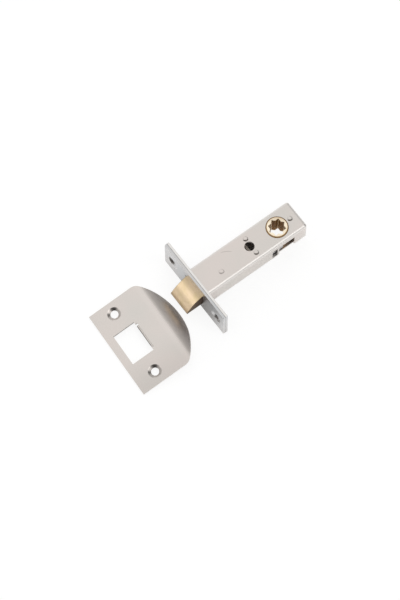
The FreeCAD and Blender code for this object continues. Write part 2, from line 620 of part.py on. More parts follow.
def make_hub(doc: FreeCAD.Document):
    """Build the hub: chamfered barrel, two leaning wings and the star of two squares through it."""
    body = new_body(doc, "hub")
    round_section = new_sketch(body, "XY_Plane", "barrel")
    circle(round_section, "0", "0", HUB_DIAMETER)
    barrel = pad(body, round_section, "case_depth + 2 * hub_proud", side="Symmetric")
    rims = [
        f"Edge{number}"
        for number, edge in enumerate(barrel.Shape.Edges, start=1)
        if edge.Curve.TypeId == "Part::GeomCircle"
    ]
    round_edges(body, barrel, "rims", "hub_chamfer", rims, kind="Chamfer")
    arm = new_sketch(body, "XY_Plane", "wing_arm")
    root, end = f"{HUB_DIAMETER} / 3", WING_RADIUS
    outline(arm, [("-wing_root", root), ("wing_root", root), ("wing_nose", end), ("-wing_nose", end)])
    nose = new_sketch(body, "XY_Plane", "wing_nose")
    circle(nose, "0", end, "2 * wing_nose")
    for sketch in arm, nose:
        sketch.AttachmentOffset = FreeCAD.Placement(FreeCAD.Vector(), FreeCAD.Rotation(ALONG_Z, -1))
        sketch.setExpression("AttachmentOffset.Rotation.Angle", bound("-wing_lead"))
    wing = [pad(body, sketch, "wing_thickness", side="Symmetric") for sketch in (arm, nose)]
    other = body.newObject("PartDesign::Mirrored", "hub_other_wing")
    other.Originals = wing
    other.MirrorPlane = (origin_feature(body, "XZ_Plane"), [""])
    body.Tip = other
    doc.recompute()
    tip = f"({HUB_DIAMETER} / 2 - hub_wall)"
    flat = f"({tip} / sqrt(2))"
    square = new_sketch(body, "XY_Plane", "square")
    rectangle(square, f"-{flat}", flat, f"-{flat}", flat)
    pocket(body, square, side="Symmetric")
    diamond = new_sketch(body, "XY_Plane", "diamond")
    outline(diamond, [(tip, "0"), ("0", tip), (f"-{tip}", "0"), ("0", f"-{tip}")])
    pocket(body, diamond, side="Symmetric")
    body.setExpression("Placement.Base.x", bound("-backset"))
    return body


def make_strike_plate(doc: FreeCAD.Document):
    """Build the strike: curved lip, D-shaped edge, bolt hole with a turned-down tab, countersunk holes.

    In its own frame x runs from the straight edge to the lip and z = 0 is the face.
    """
    body = new_body(doc, "strike_plate")
    lip_x, lip_z = "(strike_flat + {0} * sin(lip_angle))", "({0} * cos(lip_angle) - lip_radius)"
    under = "(lip_radius - strike_thickness)"
    corners = [
        ("0", "0"),
        ("0", "-strike_thickness"),
        ("strike_flat", "-strike_thickness"),
        (lip_x.format(under), lip_z.format(under)),
        (lip_x.format("lip_radius"), lip_z.format("lip_radius")),
        ("strike_flat", "0"),
    ]
    profile = new_sketch(body, "XZ_Plane", "profile")
    outline(profile, corners, {2: (under, -1), 4: ("lip_radius", 1)})
    pad(body, profile, "strike_length", side="Symmetric")

    reach = lip_x.format("lip_radius")
    half, bulge = "(strike_length / 2)", f"({reach} - strike_side)"
    beyond, wide = f"({reach} + strike_corner)", "strike_length"
    corners = [
        ("strike_side", f"-{half}"),
        ("strike_side", f"-{wide}"),
        (beyond, f"-{wide}"),
        (beyond, wide),
        ("strike_side", wide),
        ("strike_side", half),
    ]
    waste = new_sketch(body, "XY_Plane", "waste")
    outline(waste, corners, {5: (f"({half} ^ 2 + {bulge} ^ 2) / (2 * {bulge})", -1)})
    cut = pocket(body, waste, side="Symmetric")
    side, middle = value(doc, "strike_side"), value(doc, half)
    places = [FreeCAD.Vector(side, y, 0) for y in (-middle, middle)]
    round_edges(body, cut, "corners", "strike_corner", edges_through(cut.Shape, ALONG_Z, places))

    opening = new_sketch(body, "XY_Plane", "bolt_hole")
    rectangle(opening, "strike_hole_margin", TAB_FACE, "-strike_hole_length / 2", "strike_hole_length / 2")
    pocket(body, opening, side="Symmetric")
    relief = new_sketch(body, "XY_Plane", "tab_reliefs")
    for sign in "-", "":
        near, far = f"{sign}tab_length / 2", f"{sign}(tab_length / 2 + tab_relief)"
        low, high = (far, near) if sign else (near, far)
        rectangle(relief, f"{TAB_FACE} - strike_thickness", f"{TAB_FACE} + tab_relief", low, high)
    pocket(body, relief, side="Symmetric")
    fold = new_sketch(body, "XY_Plane", "tab")
    rectangle(fold, TAB_FACE, f"{TAB_FACE} + strike_thickness", "-tab_length / 2", "tab_length / 2")
    tab = pad(body, fold, "tab_depth", reverse=True)
    places = [FreeCAD.Vector(value(doc, TAB_FACE), 0, 0)]
    edges = [
        name
        for name in edges_through(tab.Shape, ALONG_Y, places)
        if abs(tab.Shape.getElement(name).CenterOfMass.y) < SMALL
    ]
    round_edges(body, tab, "tab_bend", "strike_thickness * 0.9", edges)

    holes = new_sketch(body, "XY_Plane", "screws")
    for sign in "-", "":
        circle(holes, "strike_screw_margin", f"{sign}strike_screw_spacing / 2", "strike_screw_hole")
    screw_holes(body, holes, "strike_screw_hole", "strike_sink", "strike_sink_angle")
    place_strike(doc, body, lip_x.format(under), lip_z.format(under))
    return body


def place_strike(doc: FreeCAD.Document, body, lip_x: str, lip_z: str) -> None:
    """Lay the strike in front of the bolt so that its straight edge and its lip rest on one plane."""
    thickness = value(doc, "strike_thickness")
    tilt = math.degrees(math.atan2(-value(doc, lip_z) - thickness, value(doc, lip_x)))
    turn = FreeCAD.Rotation(ALONG_Z, 180 - value(doc, "strike_turn"))
    lean = FreeCAD.Rotation(ALONG_Y, -tilt)
    rest = thickness * math.cos(math.radians(tilt)) - value(doc, "forend_width / 2")
    base = FreeCAD.Vector(value(doc, "strike_reach"), value(doc, "strike_shift"), rest)
    body.Placement = FreeCAD.Placement(base, turn.multiply(lean))


def make_pieces(doc: FreeCAD.Document) -> list:
    """Build every piece of the latch and return them in order."""
    inner_mouth = "screw_sink - 2 * faceplate_thickness * tan(screw_sink_angle / 2)"
    return [
        make_forend_plate(doc, "faceplate", "0", "faceplate_thickness", "screw_sink", slots=False),
        make_forend_plate(doc, "forend", "faceplate_thickness", "forend_thickness", inner_mouth, slots=True),
        make_case_channel(doc),
        make_case_cover(doc),
        make_spring_abutment(doc),
        make_latch_bolt(doc),
        make_bolt_shank(doc),
        make_shank_pin(doc),
        make_shank_clip(doc),
        make_spring(doc, "bolt_spring", f"({CLIP_FRONT} + clip_thickness)"),
        make_retractor(doc),
        make_spring(doc, "return_spring", WEB_REAR),
        make_hub(doc),
        make_strike_plate(doc),
    ]


def check(doc: FreeCAD.Document, pieces: list) -> None:
    """Stop if any object failed or any piece has no valid shape."""
    for item in doc.Objects:
        if {"Invalid", "Error"} & set(item.State):
            raise RuntimeError(f"{item.Label} failed: {item.State}")
    for piece in pieces:
        if piece.Shape.isNull() or not piece.Shape.isValid() or not piece.Shape.Solids:
            raise RuntimeError(f"{piece.Label} has no valid solid")


def main() -> None:
    """Build the document and write one file for each piece."""
    doc = FreeCAD.newDocument("tubular_door_latch")
    make_sheet(doc)
    pieces = make_pieces(doc)
    doc.recompute()
    check(doc, pieces)
    os.makedirs("parts", exist_ok=True)
    for piece in pieces:
        piece.Shape.exportStep(os.path.join("parts", f"{piece.Label}.step"))
        box = piece.Shape.BoundBox
        print(f"{piece.Label}: {piece.Shape.Volume:.1f} mm3, x {box.XMin:.2f} to {box.XMax:.2f}")


main()
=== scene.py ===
"""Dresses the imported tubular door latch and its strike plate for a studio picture, in metres."""

import logging
import math
from dataclasses import dataclass
from enum import Enum

import bmesh
import bpy
from mathutils import Matrix, Vector


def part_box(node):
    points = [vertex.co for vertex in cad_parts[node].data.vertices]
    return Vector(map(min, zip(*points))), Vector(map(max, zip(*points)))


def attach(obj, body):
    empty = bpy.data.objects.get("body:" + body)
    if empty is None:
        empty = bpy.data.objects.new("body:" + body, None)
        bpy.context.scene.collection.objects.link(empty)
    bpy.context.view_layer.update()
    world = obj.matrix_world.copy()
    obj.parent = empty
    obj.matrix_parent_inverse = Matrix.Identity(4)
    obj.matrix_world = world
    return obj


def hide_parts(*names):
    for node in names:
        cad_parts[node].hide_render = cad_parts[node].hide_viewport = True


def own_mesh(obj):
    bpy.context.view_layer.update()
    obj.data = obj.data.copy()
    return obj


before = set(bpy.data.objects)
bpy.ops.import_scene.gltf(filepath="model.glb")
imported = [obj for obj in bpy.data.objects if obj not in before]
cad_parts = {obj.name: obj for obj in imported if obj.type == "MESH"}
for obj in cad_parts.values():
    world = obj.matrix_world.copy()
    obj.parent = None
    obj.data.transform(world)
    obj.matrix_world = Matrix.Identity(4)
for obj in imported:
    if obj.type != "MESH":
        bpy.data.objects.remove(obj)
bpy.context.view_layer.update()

log = logging.getLogger("door_latch")

MM = 0.001
POLISH = "edge_polish"
Colour = tuple[float, float, float, float]

ORIGIN = (0.0, 0.0, 0.0)
ALONG_X = (1.0, 0.0, 0.0)
ALONG_Y = (0.0, 1.0, 0.0)
ALONG_Z = (0.0, 0.0, 1.0)

# Noise varies about its mean, and noise on stretched coordinates needs no scale of its own.
NOISE_MEAN = 0.5
AS_STRETCHED = 1.0

# The joint of the forend's layers is the back of the outer one. The case's rivet heads stand on its wide
# face and reach past it, so the top of the channel's box isn't the height of that face.
JOINT = (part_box("faceplate")[0].x, 0.0, 0.0)
FOREND_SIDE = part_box("faceplate")[1].z
CASE_LOW, CASE_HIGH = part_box("case_channel")
WIDE_FACE = 7.25 * MM


def placed(name: str, data: bpy.types.ID) -> bpy.types.Object:
    """Return a new object, at the origin of the scene.

    Args:
        name: the object's name.
        data: its mesh, light or camera.

    Returns:
        The object.
    """
    thing = bpy.data.objects.new(name, data)
    bpy.context.scene.collection.objects.link(thing)
    return thing


def settle(piece: bpy.types.Object, modifier: bpy.types.Modifier) -> None:
    """Turn what a modifier shows into the piece's own plain mesh.

    Args:
        piece: the object.
        modifier: its only modifier, which is then removed.
    """
    bpy.context.view_layer.update()
    shown = piece.evaluated_get(bpy.context.evaluated_depsgraph_get())
    mesh = bpy.data.meshes.new_from_object(shown)
    piece.modifiers.remove(modifier)
    piece.data = mesh


class Grain(Enum):
    """The way that the brushing of a plated piece runs, as stretches along X, Y and Z."""

    ALONG_CASE = (30.0, 5200.0, 5200.0)
    ALONG_FOREND = (5200.0, 30.0, 5200.0)
    ALONG_STRIKE = (4200.0, 26.0, 4200.0)


class Signal:
    """A node's output socket that takes part in Python arithmetic."""

    def __init__(self, board: "NodeBoard", socket: bpy.types.NodeSocket) -> None:
        """Keep the socket and the board that it belongs to."""
        self.board = board
        self.socket = socket

    def combine(self, operation: str, first: "Signal | float", second: "Signal | float") -> "Signal":
        """Return a Math node's result for two values."""
        return self.board.add("ShaderNodeMath", {"operation": operation}, {0: first, 1: second})

    def __add__(self, other: "Signal | float") -> "Signal":
        """Return the sum."""
        return self.combine("ADD", self, other)

    __radd__ = __add__

    def __sub__(self, other: "Signal | float") -> "Signal":
        """Return the difference."""
        return self.combine("SUBTRACT", self, other)

    def __rsub__(self, other: float) -> "Signal":
        """Return a number less this value."""
        return self.combine("SUBTRACT", other, self)

    def __mul__(self, other: "Signal | float") -> "Signal":
        """Return the product."""
        return self.combine("MULTIPLY", self, other)

    __rmul__ = __mul__

    def __abs__(self) -> "Signal":
        """Return the size of the value without its sign."""
        return self.combine("ABSOLUTE", self, 0.0)

    def step(self, low: float, high: float) -> "Signal":
        """Return 0 at low and 1 at high, with a smooth rise between them."""
        limits = {"Value": self, "From Min": low, "From Max": high}
        return self.board.add("ShaderNodeMapRange", {"interpolation_type": "SMOOTHSTEP"}, limits)

    def fall(self, low: float, high: float) -> "Signal":
        """Return 1 at low and 0 at high, with a smooth fall between them."""
        return 1.0 - self.step(low, high)

    def at_least(self, other: "Signal | float") -> "Signal":
        """Return the larger of this value and another."""
        return self.combine("MAXIMUM", self, other)


class NodeBoard:
    """A node tree that nodes are added to, one at a time."""

    def __init__(self, tree: bpy.types.NodeTree) -> None:
        """Keep a tree and empty it."""
        self.tree = tree
        self.tree.nodes.clear()

    def feed(self, socket: bpy.types.NodeSocket, value: object) -> None:
        """Link a signal to a socket, or set the socket's own value.

        Args:
            socket: the input to set.
            value: a signal, a number or a tuple.
        """
        if isinstance(value, Signal):
            self.tree.links.new(value.socket, socket)
        else:
            socket.default_value = value

    def add(self, kind: str, settings: dict, inputs: dict, output: str | int = 0) -> Signal:
        """Add any node.

        Args:
            kind: the node's type.
            settings: its properties, set first.
            inputs: values or signals for its sockets, by name or number.
            output: the output to return, by name or number.

        Returns:
            The chosen output as a signal.
        """
        node = self.tree.nodes.new(kind)
        for name, setting in settings.items():
            setattr(node, name, setting)
        for key, value in inputs.items():
            self.feed(node.inputs[key], value)
        return Signal(self, node.outputs[output])

    def end(self, kind: str, last: Signal) -> None:
        """Link the last signal to a new output node."""
        self.feed(self.tree.nodes.new(kind).inputs[0], last)

    def vector(self, operation: str, first: Signal, second: tuple, output: str = "Vector") -> Signal:
        """Return a Vector Math node's result."""
        return self.add("ShaderNodeVectorMath", {"operation": operation}, {0: first, 1: second}, output)


class Paint(NodeBoard):
    """The node tree of one material, with a Principled shader at its end."""

    # A Mix node has sockets for every data type, and these are the numbers of the ones for colours.
    MIX_SHARE = 0
    MIX_FIRST = 6
    MIX_SECOND = 7
    MIX_RESULT = 2

    def __init__(self, name: str) -> None:
        """Start an empty material.

        Args:
            name: the material's name.
        """
        self.material = bpy.data.materials.new(name)
        self.material.use_nodes = True
        super().__init__(self.material.node_tree)
        self.shader = self.tree.nodes.new("ShaderNodeBsdfPrincipled")
        self.end("ShaderNodeOutputMaterial", Signal(self, self.shader.outputs[0]))

    def place(self) -> Signal:
        """Return the object's own coordinates."""
        return self.add("ShaderNodeTexCoord", {}, {}, "Object")

    def stretched(self, scale: tuple, turn: float = 0.0) -> Signal:
        """Return the object's coordinates, turned about Z and stretched.

        Args:
            scale: stretch along X, Y and Z.
            turn: degrees about Z.

        Returns:
            The coordinates for a texture.
        """
        inputs = {"Vector": self.place(), "Rotation": (0.0, 0.0, math.radians(turn)), "Scale": scale}
        return self.add("ShaderNodeMapping", {}, inputs)

    def noise(self, where: Signal, scale: float, detail: float, rough: float = 0.55) -> Signal:
        """Return smooth noise.

        Args:
            where: the coordinates to read.
            scale: how fine it is.
            detail: how many octaves it has.
            rough: how strong the finer octaves are.

        Returns:
            The noise, from 0 to 1.
        """
        inputs = {"Vector": where, "Scale": scale, "Detail": detail, "Roughness": rough}
        return self.add("ShaderNodeTexNoise", {}, inputs, "Fac")

    def mix(self, share: Signal, first: Signal | Colour, second: Signal | Colour) -> Signal:
        """Return a blend of two colours.

        Args:
            share: how much of the second colour shows.
            first: the colour at 0.
            second: the colour at 1.

        Returns:
            The blended colour.
        """
        blend = {self.MIX_SHARE: share, self.MIX_FIRST: first, self.MIX_SECOND: second}
        return self.add("ShaderNodeMix", {"data_type": "RGBA"}, blend, self.MIX_RESULT)

    def along(self, origin: tuple, direction: tuple) -> Signal:
        """Return how far a point lies along a direction from an origin.

        Args:
            origin: the starting point.
            direction: a unit vector.

        Returns:
            The signed distance in metres.
        """
        apart = self.vector("SUBTRACT", self.place(), origin)
        return self.vector("DOT_PRODUCT", apart, direction, "Value")

    def from_axis(self, centre: tuple, across: tuple = (1.0, 1.0, 0.0)) -> Signal:
        """Return the distance from an axis, an upright one unless said otherwise.

        Args:
            centre: a point on the axis.
            across: 1 for each direction that counts and 0 for the axis's own.

        Returns:
            The distance in metres.
        """
        flat = self.vector("MULTIPLY", self.vector("SUBTRACT", self.place(), centre), across)
        return self.add("ShaderNodeVectorMath", {"operation": "LENGTH"}, {0: flat}, "Value")

    def polish(self) -> Signal:
        """Return the mask of the edges that handling has polished."""
        return self.add("ShaderNodeAttribute", {"attribute_name": POLISH}, {}, "Fac")

    def bump(self, height: Signal, strength: float, depth: float) -> Signal:
        """Return a normal bent by a height.

        Args:
            height: the height, from 0 to 1.
            strength: how much of it shows.
            depth: the height in metres that 1 stands for.

        Returns:
            The normal.
        """
        inputs = {"Height": height, "Strength": strength, "Distance": depth}
        return self.add("ShaderNodeBump", {}, inputs, "Normal")

    def finish(self, **inputs: object) -> bpy.types.Material:
        """Set the shader's sockets and return the material.

        Args:
            inputs: values or signals, with spaces in a socket's name written as underscores.

        Returns:
            The finished material.
        """
        for name, value in inputs.items():
            self.feed(self.shader.inputs[name.replace("_", " ")], value)
        return self.material


@dataclass(frozen=True)
class ScratchArc:
    """A faint curved drawing mark that the press left on the wide face."""

    strength: float = 0.4
    middle: tuple = (-27.05 * MM, -5.15 * MM, WIDE_FACE)
    centre: tuple = (-21.2 * MM, 4.74 * MM, WIDE_FACE)
    radius: float = 12.0 * MM
    half_length: float = 3.8 * MM
    half_width: float = 0.2 * MM
    chord: tuple = (-0.86, 0.51, 0.0)
    length_core: float = 0.6
    width_core: float = 0.3
    below_face: float = -0.3 * MM
    at_face: float = -0.1 * MM

    def mask(self, paint: Paint) -> Signal:
        """Return the mark's mask on the wide face.

        Args:
            paint: the material that shows the mark.

        Returns:
            1 on the mark and 0 away from it.
        """
        off_line = abs(paint.from_axis(self.centre) - self.radius)
        line = off_line.fall(self.half_width * self.width_core, self.half_width)
        off_middle = abs(paint.along(self.middle, self.chord))
        reach = off_middle.fall(self.half_length * self.length_core, self.half_length)
        on_face = paint.along(self.middle, ALONG_Z).step(self.below_face, self.at_face)
        return line * reach * on_face


@dataclass(frozen=True)
class RivetShade:
    """The painted shade, a dark crescent against the near side of each rivet head and of the front pip.

    Each of the centres is a place along X and Y in millimetres and the share of the painted shade that is
    there.
    """

    strength: float = 0.95
    centres: tuple = ((-41.0, -5.2, 1.0), (-41.0, 5.2, 1.0), (-69.3, 0.0, 1.0), (-17.7, 2.7, 0.5))
    radius: float = 1.25 * MM
    half_width: float = 0.6 * MM
    core: float = 0.5
    near: tuple = (0.45, 0.893, 0.0)
    near_start: float = 0.3 * MM
    near_full: float = 0.9 * MM

    def mask(self, paint: Paint) -> Signal:
        """Return the crescents' mask.

        Args:
            paint: the material that shows them.

        Returns:
            1 on the residue and 0 away from it.
        """
        total: Signal | float = 0.0
        for x, y, share in self.centres:
            centre = (x * MM, y * MM, WIDE_FACE)
            off_ring = abs(paint.from_axis(centre) - self.radius)
            ring = off_ring.fall(self.half_width * self.core, self.half_width)
            # Each crescent is painted shade on the side of the head that faces the lens.
            near_side = paint.along(centre, self.near).step(self.near_start, self.near_full)
            total = ring * near_side * share + total
        return total


@dataclass(frozen=True)
class JointLine:
    """The dark line where the forend's two layers meet."""

    strength: float = 0.3
    half_width: float = 0.2 * MM
    core: float = 0.4

    def mask(self, paint: Paint) -> Signal:
        """Return the line's mask, which is 1 on the line and 0 away from it."""
        return abs(paint.along(JOINT, ALONG_X)).fall(self.half_width * self.core, self.half_width)


@dataclass(frozen=True)
class ScrewHoleShade:
    """The painted shade in the middle of the forend's two countersinks, whose ends stay bright.

    Each of the slots is the middle of the painted shade along Y and half of its length.
    """

    strength: float = 0.85
    slots: tuple = ((-22.7 * MM, 2.5 * MM), (20.7 * MM, 1.7 * MM))
    half_height: float = 3.9 * MM
    length_core: float = 0.6
    height_core: float = 0.9
    deep: float = -0.3 * MM
    shallow: float = -0.15 * MM

    def mask(self, paint: Paint) -> Signal:
        """Return the painted shade's mask.

        Args:
            paint: the material that shows it.

        Returns:
            1 inside the holes and 0 away from them.
        """
        # Painted shade, darkest in the sunk middle of each hole.
        sunk = paint.along(ORIGIN, ALONG_X).fall(self.deep, self.shallow)
        over = abs(paint.along(ORIGIN, ALONG_Z)).fall(self.half_height * self.height_core, self.half_height)
        total: Signal | float = 0.0
        for middle, half_length in self.slots:
            out = abs(paint.along((0.0, middle, 0.0), ALONG_Y))
            total = out.fall(half_length * self.length_core, half_length) * over * sunk + total
        return total


@dataclass(frozen=True)
class StrikeAxes:
    """The strike's middle, between its screw holes at the back of the sheet, and its three directions."""

    middle: tuple = (44.97 * MM, 2.99 * MM, -10.05 * MM)
    upright: tuple = (0.18035, -0.00819, 0.983568)
    crosswise: tuple = (0.9826, -0.0446, -0.1805)
    lengthwise: tuple = (0.0454, 0.9990, 0.0)

    def height(self, paint: Paint) -> Signal:
        """Return how far a point lies above the back of the sheet."""
        return paint.along(self.middle, self.upright)

    def across(self, paint: Paint) -> Signal:
        """Return how far a point lies from the middle, away from the lip."""
        return paint.along(self.middle, self.crosswise)

    def along(self, paint: Paint) -> Signal:
        """Return how far a point lies from the middle along the strike's length."""
        return paint.along(self.middle, self.lengthwise)

    def place(self, along: float) -> tuple:
        """Return a place on the line through both screw holes."""
        return tuple(Vector(self.middle) + Vector(self.lengthwise) * along)


STRIKE = StrikeAxes()


@dataclass(frozen=True)
class SinkShade:
    """The painted shade in the strike's two countersinks, thickest on the side away from the lens."""

    strength: float = 0.3
    half_spacing: float = 21.2 * MM
    reach: float = 4.3 * MM
    soft: float = 0.1 * MM
    top: float = 1.3 * MM
    fade: float = 0.3 * MM
    far: tuple = (-0.626, -0.772, 0.108)
    thickest: float = 2.4 * MM
    thin_share: float = 0.3
    every_way: tuple = (1.0, 1.0, 1.0)

    def mask(self, paint: Paint) -> Signal:
        """Return the painted shade's mask.

        Args:
            paint: the material that shows it.

        Returns:
            1 in the countersinks and 0 away from them.
        """
        near: Signal | float = 0.0
        for side in -self.half_spacing, self.half_spacing:
            centre = STRIKE.place(side)
            ring = paint.from_axis(centre, self.every_way).fall(self.reach - self.soft, self.reach)
            # Painted shade, thickest on the far wall of each countersink.
            far_side = paint.along(centre, self.far).step(0.0, self.thickest)
            near = ring * (far_side * (1.0 - self.thin_share) + self.thin_share) + near
        return near * STRIKE.height(paint).fall(self.top - self.fade, self.top)


@dataclass(frozen=True)
class TabShade:
    """Painted shade down the strike's tab, where it is folded down."""

    strength: float = 0.9
    half_length: float = 7.2 * MM
    length_soft: float = 0.1 * MM
    start: float = -8.6 * MM
    end: float = -6.2 * MM
    soft: float = 0.3 * MM
    top: float = 1.35 * MM
    fade: float = 0.7 * MM

    def mask(self, paint: Paint) -> Signal:
        """Return the tab's painted shade mask.

        Args:
            paint: the material that shows it.

        Returns:
            1 down the tab and 0 away from it.
        """
        # Painted shade on the folded tab.
        across = STRIKE.across(paint)
        here = across.step(self.start, self.start + self.soft) * across.fall(self.end, self.end + self.soft)
        off_middle = abs(STRIKE.along(paint))
        on_tab = off_middle.fall(self.half_length, self.half_length + self.length_soft)
        return here * on_tab * STRIKE.height(paint).fall(self.top - self.fade, self.top)


@dataclass(frozen=True)
class HoleWallShade:
    """Painted shade on the short wall of the strike's bolt hole that faces the lens."""

    strength: float = 0.8
    wall: float = -10.25 * MM
    half_width: float = 0.25 * MM
    core: float = 0.8
    tab_side: float = -6.9 * MM
    top: float = 1.4 * MM
    soft: float = 0.2 * MM

    def mask(self, paint: Paint) -> Signal:
        """Return the wall's mask.

        Args:
            paint: the material that shows it.

        Returns:
            1 down the wall and 0 away from it.
        """
        # Painted shade down the hole's wall.
        off_wall = abs(STRIKE.along(paint) - self.wall)
        on_wall = off_wall.fall(self.half_width * self.core, self.half_width)
        past_tab = STRIKE.across(paint).step(self.tab_side - self.soft, self.tab_side)
        return on_wall * past_tab * STRIKE.height(paint).fall(self.top - self.soft, self.top)


@dataclass(frozen=True)
class StrikeEndShade:
    """Painted shade that grows a little darker toward one end of the strike."""

    strength: float = 0.14
    start: float = 4.0 * MM
    full: float = 30.0 * MM

    def mask(self, paint: Paint) -> Signal:
        """Return the mask of the darker end, which is 0 before its start and 1 past its full darkness."""
        # Painted shade along the strike's length.
        return STRIKE.along(paint).step(self.start, self.full)


@dataclass(frozen=True)
class LipScuffAndShade:
    """The dulled plate on the strike's lip, where the bolt rides up it, darkened by painted shade."""

    start: float = -21.0 * MM
    full: float = -23.5 * MM

    def mask(self, paint: Paint) -> Signal:
        """Return the mask of the scuff and its painted shade, which is 1 on the lower lip and 0 on the flat
        plate.
        """
        return STRIKE.across(paint).fall(self.full, self.start)


@dataclass(frozen=True)
class ShearedEdge:
    """The bright bare steel along the sheared long edges of the forend's inner layer."""

    depth: float = 0.2 * MM
    core: float = 0.5
    soft: float = 0.1 * MM

    def mask(self, paint: Paint) -> Signal:
        """Return the edges' mask.

        Args:
            paint: the material that shows them.

        Returns:
            1 on the edges and 0 away from them.
        """
        off_middle = abs(paint.along(ORIGIN, ALONG_Z))
        edge = off_middle.step(FOREND_SIDE - self.depth, FOREND_SIDE - self.depth * self.core)
        return edge * paint.along(JOINT, ALONG_X).fall(-self.soft, self.soft)


@dataclass(frozen=True)
class FoldHighlight:
    """A painted highlight along the case's long folds and its rear fold."""

    radius: float = 1.8 * MM
    core: float = 0.6
    brightening: float = 0.6

    def mask(self, paint: Paint) -> Signal:
        """Return the folds' mask.

        Args:
            paint: the material that shows them.

        Returns:
            The painted highlight on the folds and 0 on the flat faces.
        """
        bend = self.radius * self.core
        off_side = CASE_HIGH.y - abs(paint.along(ORIGIN, ALONG_Y))
        off_face = WIDE_FACE - abs(paint.along(ORIGIN, ALONG_Z))
        long_fold = off_side.fall(bend, self.radius) * off_face.fall(bend, self.radius)
        rear_fold = paint.along((CASE_LOW.x, 0.0, 0.0), ALONG_X).fall(bend, self.radius)
        return long_fold.at_least(rear_fold) * self.brightening


@dataclass(frozen=True)
class SatinNickel:
    """Brushed nickel plate on pressed steel, with cloudy plating, brighter worn edges, marks, and painted
    shade and highlights.
    """

    warm: Colour = (0.687, 0.63, 0.597, 1.0)
    cool: Colour = (0.658, 0.626, 0.592, 1.0)
    worn: Colour = (0.80, 0.76, 0.72, 1.0)
    mark_and_shade: Colour = (0.10, 0.085, 0.075, 1.0)
    bare_and_highlight: Colour = (0.79, 0.77, 0.75, 1.0)
    roughness: float = 0.34
    brushing: float = 0.07
    grain_depth: float = 0.012 * MM
    turn: float = 0.0
    streaks: float = 1.0
    streak_detail: float = 4.0
    streak_harshness: float = 0.6
    streak_range: tuple = (0.35, 0.95)
    streak_tint: float = 0.12
    streak_rough: float = 0.07
    cloud_scale: float = 42.0
    cloud_detail: float = 2.0
    cloud_range: tuple = (0.3, 0.7)
    cloud_rough: float = 0.08
    speck_scale: float = 2600.0
    speck_detail: float = 1.0
    speck_height: float = 0.25
    polish_tint: float = 0.6
    polish_gloss: float = 0.08
    scuff_shade: float = 0.22
    scuff_rough: float = 0.22
    marks_and_shade: tuple = ()
    scuff_and_shade: LipScuffAndShade | None = None
    edges: ShearedEdge | FoldHighlight | None = None

    def material(self, name: str, grain: Grain) -> bpy.types.Material:
        """Make the plate's material.

        Args:
            name: the material's name.
            grain: the way that the brushing runs.

        Returns:
            The material.
        """
        paint = Paint(name)
        brushed = paint.stretched(grain.value, self.turn)
        lines = paint.noise(brushed, AS_STRETCHED, self.streak_detail, self.streak_harshness)
        clouds = paint.noise(paint.place(), self.cloud_scale, self.cloud_detail)
        specks = paint.noise(paint.place(), self.speck_scale, self.speck_detail)
        polish = paint.polish()
        colour = paint.mix(clouds.step(*self.cloud_range), self.warm, self.cool)
        streak = lines.step(*self.streak_range) * (self.streak_tint * self.streaks)
        colour = paint.mix(streak, colour, self.worn)
        colour = paint.mix(polish * self.polish_tint, colour, self.worn)
        rough = self.roughness + (lines - NOISE_MEAN) * (self.streak_rough * self.streaks)
        rough = rough + (clouds - NOISE_MEAN) * self.cloud_rough - polish * self.polish_gloss
        if self.edges is not None:
            # The edges are bare steel on the forend's sheared edges and a painted highlight on the case's
            # folds.
            colour = paint.mix(self.edges.mask(paint), colour, self.bare_and_highlight)
        if self.scuff_and_shade is not None:
            # The lip gets painted shade in its colour, and rougher plate where the bolt rides.
            dulled_and_shaded = self.scuff_and_shade.mask(paint)
            colour = paint.mix(dulled_and_shaded * self.scuff_shade, colour, self.mark_and_shade)
            rough = rough + dulled_and_shaded * self.scuff_rough
        height = lines + specks * self.speck_height
        # Most of these are painted shade; the joint line and the scratch arc are real marks.
        for overlay in self.marks_and_shade:
            mask = overlay.mask(paint) * overlay.strength
            colour = paint.mix(mask, colour, self.mark_and_shade)
            height = height - mask
        normal = paint.bump(height, self.brushing, self.grain_depth)
        return paint.finish(Base_Color=colour, Roughness=rough, Normal=normal, Metallic=1.0)


@dataclass(frozen=True)
class HubGreaseAndShade:
    """Dark grease and painted shade round the hub's rim, widest on the near side, and painted shade down
    the walls of its spindle hole and over its far side.
    """

    axis: tuple = (-60.0 * MM, 0.0, 0.0)
    far: tuple = (-0.598, -0.802, 0.0)
    rim: float = 6.15 * MM
    rim_soft: float = 0.25 * MM
    rim_share: float = 0.9
    rim_lean: float = 0.03
    well: float = 5.3 * MM
    well_soft: float = 0.1 * MM
    well_share: float = 0.86
    face: float = 7.6 * MM
    shallow: float = 0.1 * MM
    deep: float = 0.9 * MM
    far_shade_start: float = 1.5 * MM
    far_shade_full: float = 6.0 * MM
    far_shade_share: float = 0.3

    def mask(self, paint: Paint) -> Signal:
        """Return the mask of the grease and painted shade.

        Args:
            paint: the material that shows it.

        Returns:
            1 in the grease and painted shade and 0 away from it.
        """
        out = paint.from_axis(self.axis)
        toward_far = paint.along(self.axis, self.far)
        rim = (out - toward_far * self.rim_lean).step(self.rim - self.rim_soft, self.rim)
        depth = self.face - abs(paint.along(self.axis, ALONG_Z))
        well = depth.step(self.shallow, self.deep) * out.fall(self.well - self.well_soft, self.well)
        # The well and the far side are painted shade; the rim is painted shade with some grease.
        far_shade = toward_far.step(self.far_shade_start, self.far_shade_full)
        return rim * self.rim_share + well * self.well_share + far_shade * self.far_shade_share


@dataclass(frozen=True)
class BoltSideShade:
    """Painted shade on the bolt's two sides, darkest at the forend."""

    shade_start: float = 7.7 * MM
    shade_full: float = 7.9 * MM
    reach: float = 11.0 * MM
    fading: float = 0.2

    def mask(self, paint: Paint) -> Signal:
        """Return the painted shade's mask.

        Args:
            paint: the material that shows it.

        Returns:
            1 on the darkest painted shade and 0 on bare brass.
        """
        # Painted shade on both sides of the bolt.
        side = abs(paint.along(ORIGIN, ALONG_Y)).step(self.shade_start, self.shade_full)
        fade = 1.0 - paint.along(ORIGIN, ALONG_X).step(0.0, self.reach) * self.fading
        return side * fade


